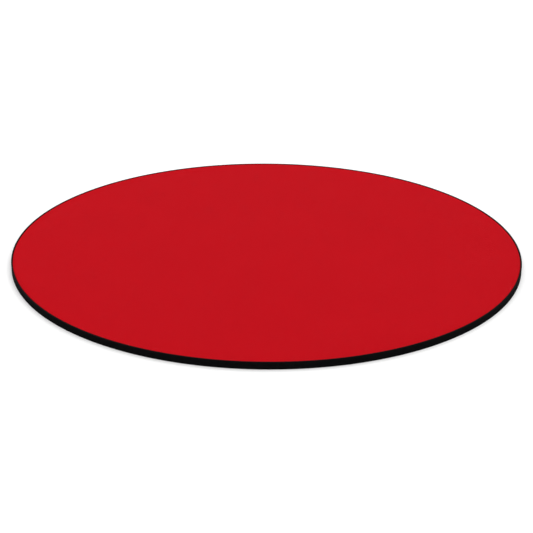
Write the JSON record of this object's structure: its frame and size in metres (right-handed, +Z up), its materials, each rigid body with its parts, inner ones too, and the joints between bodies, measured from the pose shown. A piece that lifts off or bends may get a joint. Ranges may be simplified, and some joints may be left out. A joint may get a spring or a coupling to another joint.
{
  "type": "round mat",
  "caption": "Thin flat round mat: a red knitted cloth face bonded into a black sponge rubber base that shows as a hairline rim and a square black edge.",
  "frame": {"origin": "centre of the underside, on the plane that the mat lies on", "axes": "+Z up through the cloth face, along the mat's thickness and its axis of symmetry; +X and +Y are any two square directions in the plane of the mat, because it is round"},
  "size_m": [0.22, 0.22, 0.003],
  "materials": {
    "red_cloth": "matte",
    "hot_melt_film": "satin",
    "black_rubber": "matte"
  },
  "bodies": {
    "root": {"face_cloth": "red_cloth", "bond_film": "hot_melt_film", "rubber_base": "black_rubber"}
  },
  "joints": []
}
